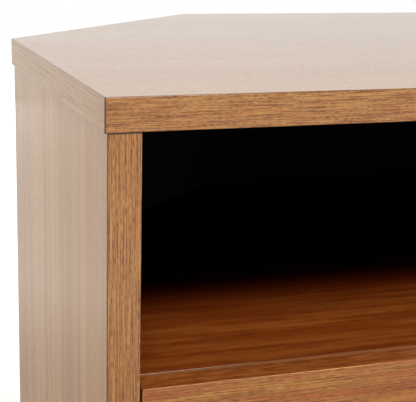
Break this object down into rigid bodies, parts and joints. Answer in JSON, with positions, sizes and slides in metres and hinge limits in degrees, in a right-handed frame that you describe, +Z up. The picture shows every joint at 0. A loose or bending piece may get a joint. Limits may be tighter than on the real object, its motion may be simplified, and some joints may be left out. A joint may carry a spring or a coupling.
{
  "type": "corner tv cabinet",
  "caption": "Low oak-effect corner television cabinet with a six-sided top, an open media bay with cable holes, and roller-run drawers with bar handles.",
  "frame": {"origin": "middle of the cabinet's footprint on the floor", "axes": "+X along the front to the right as seen from the front, -Y out of the front, +Z up"},
  "size_m": [1, 0.4311, 0.43],
  "materials": {
    "oak_foil_board": "satin oak-effect foil on chipboard",
    "oak_edge_band": "satin oak-effect edging",
    "drawer_foil_board": "plain oak-effect foil on fibreboard",
    "hardboard": "smooth one side",
    "zinc_casting": "as cast",
    "zinc_plated_steel": "bright zinc",
    "beech": "raw",
    "coated_steel": "white epoxy coat",
    "nylon": "moulded",
    "satin_nickel": "satin plated",
    "white_plastic": "moulded",
    "brown_plastic": "moulded"
  },
  "bodies": {
    "cabinet": {"back_panel": "hardboard", "back_pins": "zinc_plated_steel", "base_panel": "oak_foil_board", "cam_bolts": "zinc_plated_steel", "cam_caps": "brown_plastic", "cam_discs": "zinc_casting", "carcass_edge_bands": "oak_edge_band", "carcass_screws": "zinc_plated_steel", "corner_brackets": "white_plastic", "divider_screws": "zinc_plated_steel", "floor_glides": "white_plastic", "front_plinth": "oak_foil_board", "left_bay_rails": "coated_steel", "left_rear_panel": "oak_foil_board", "left_side_panel": "oak_foil_board", "lower_divider": "oak_foil_board", "media_shelf": "oak_foil_board", "rear_bearer": "oak_foil_board", "right_bay_rails": "coated_steel", "right_rear_panel": "oak_foil_board", "right_side_panel": "oak_foil_board", "top_edge_bands": "oak_edge_band", "top_panel": "oak_foil_board", "upper_divider": "oak_foil_board", "wooden_dowels": "beech"},
    "left_drawer": {"left_drawer_back_wall": "drawer_foil_board", "left_drawer_bottom": "hardboard", "left_drawer_cam_bolts": "zinc_plated_steel", "left_drawer_cam_discs": "zinc_casting", "left_drawer_front": "oak_foil_board", "left_drawer_front_edge_bands": "oak_edge_band", "left_drawer_handle": "satin_nickel", "left_drawer_handle_screws": "zinc_plated_steel", "left_drawer_inner_slide": "coated_steel", "left_drawer_inner_wall": "drawer_foil_board", "left_drawer_outer_slide": "coated_steel", "left_drawer_outer_wall": "drawer_foil_board", "left_drawer_screws": "zinc_plated_steel"},
    "right_drawer": {"right_drawer_back_wall": "drawer_foil_board", "right_drawer_bottom": "hardboard", "right_drawer_cam_bolts": "zinc_plated_steel", "right_drawer_cam_discs": "zinc_casting", "right_drawer_front": "oak_foil_board", "right_drawer_front_edge_bands": "oak_edge_band", "right_drawer_handle": "satin_nickel", "right_drawer_handle_screws": "zinc_plated_steel", "right_drawer_inner_slide": "coated_steel", "right_drawer_inner_wall": "drawer_foil_board", "right_drawer_outer_slide": "coated_steel", "right_drawer_outer_wall": "drawer_foil_board", "right_drawer_screws": "zinc_plated_steel"},
    "left_outer_rail_roller": {"left_outer_rail_roller": "nylon"},
    "left_inner_rail_roller": {"left_inner_rail_roller": "nylon"},
    "left_drawer_outer_roller": {"left_drawer_outer_roller": "nylon"},
    "left_drawer_inner_roller": {"left_drawer_inner_roller": "nylon"},
    "right_outer_rail_roller": {"right_outer_rail_roller": "nylon"},
    "right_inner_rail_roller": {"right_inner_rail_roller": "nylon"},
    "right_drawer_outer_roller": {"right_drawer_outer_roller": "nylon"},
    "right_drawer_inner_roller": {"right_drawer_inner_roller": "nylon"}
  },
  "joints": [
    {"name": "left_drawer_slide", "type": "slide", "parent": "cabinet", "child": "left_drawer", "axis": [0, -1, 0], "range_m": [0, 0.15]},
    {"name": "right_drawer_slide", "type": "slide", "parent": "cabinet", "child": "right_drawer", "axis": [0, -1, 0], "range_m": [0, 0.15]},
    {"name": "left_outer_rail_roller_spin", "type": "hinge", "parent": "cabinet", "child": "left_outer_rail_roller", "pos_m": [-0.4777, -0.15315, 0.0957], "axis": [1, 0, 0], "range_deg": [0, 1030]},
    {"name": "left_inner_rail_roller_spin", "type": "hinge", "parent": "cabinet", "child": "left_inner_rail_roller", "pos_m": [-0.0128, -0.15315, 0.0957], "axis": [1, 0, 0], "range_deg": [0, 1030]},
    {"name": "left_drawer_outer_roller_spin", "type": "hinge", "parent": "left_drawer", "child": "left_drawer_outer_roller", "pos_m": [-0.4749, 0.0203, 0.093], "axis": [1, 0, 0], "range_deg": [0, 1030]},
    {"name": "left_drawer_inner_roller_spin", "type": "hinge", "parent": "left_drawer", "child": "left_drawer_inner_roller", "pos_m": [-0.0156, 0.0203, 0.093], "axis": [1, 0, 0], "range_deg": [0, 1030]},
    {"name": "right_outer_rail_roller_spin", "type": "hinge", "parent": "cabinet", "child": "right_outer_rail_roller", "pos_m": [0.4777, -0.15315, 0.0957], "axis": [1, 0, 0], "range_deg": [0, 1030]},
    {"name": "right_inner_rail_roller_spin", "type": "hinge", "parent": "cabinet", "child": "right_inner_rail_roller", "pos_m": [0.0128, -0.15315, 0.0957], "axis": [1, 0, 0], "range_deg": [0, 1030]},
    {"name": "right_drawer_outer_roller_spin", "type": "hinge", "parent": "right_drawer", "child": "right_drawer_outer_roller", "pos_m": [0.4749, 0.0203, 0.093], "axis": [1, 0, 0], "range_deg": [0, 1030]},
    {"name": "right_drawer_inner_roller_spin", "type": "hinge", "parent": "right_drawer", "child": "right_drawer_inner_roller", "pos_m": [0.0156, 0.0203, 0.093], "axis": [1, 0, 0], "range_deg": [0, 1030]}
  ],
  "couplings": [
    {"joint": "left_outer_rail_roller_spin", "follows": "left_drawer_slide", "rad_per_m": 117.65},
    {"joint": "left_inner_rail_roller_spin", "follows": "left_drawer_slide", "rad_per_m": 117.65},
    {"joint": "left_drawer_outer_roller_spin", "follows": "left_drawer_slide", "rad_per_m": 117.65},
    {"joint": "left_drawer_inner_roller_spin", "follows": "left_drawer_slide", "rad_per_m": 117.65},
    {"joint": "right_outer_rail_roller_spin", "follows": "right_drawer_slide", "rad_per_m": 117.65},
    {"joint": "right_inner_rail_roller_spin", "follows": "right_drawer_slide", "rad_per_m": 117.65},
    {"joint": "right_drawer_outer_roller_spin", "follows": "right_drawer_slide", "rad_per_m": 117.65},
    {"joint": "right_drawer_inner_roller_spin", "follows": "right_drawer_slide", "rad_per_m": 117.65}
  ]
}
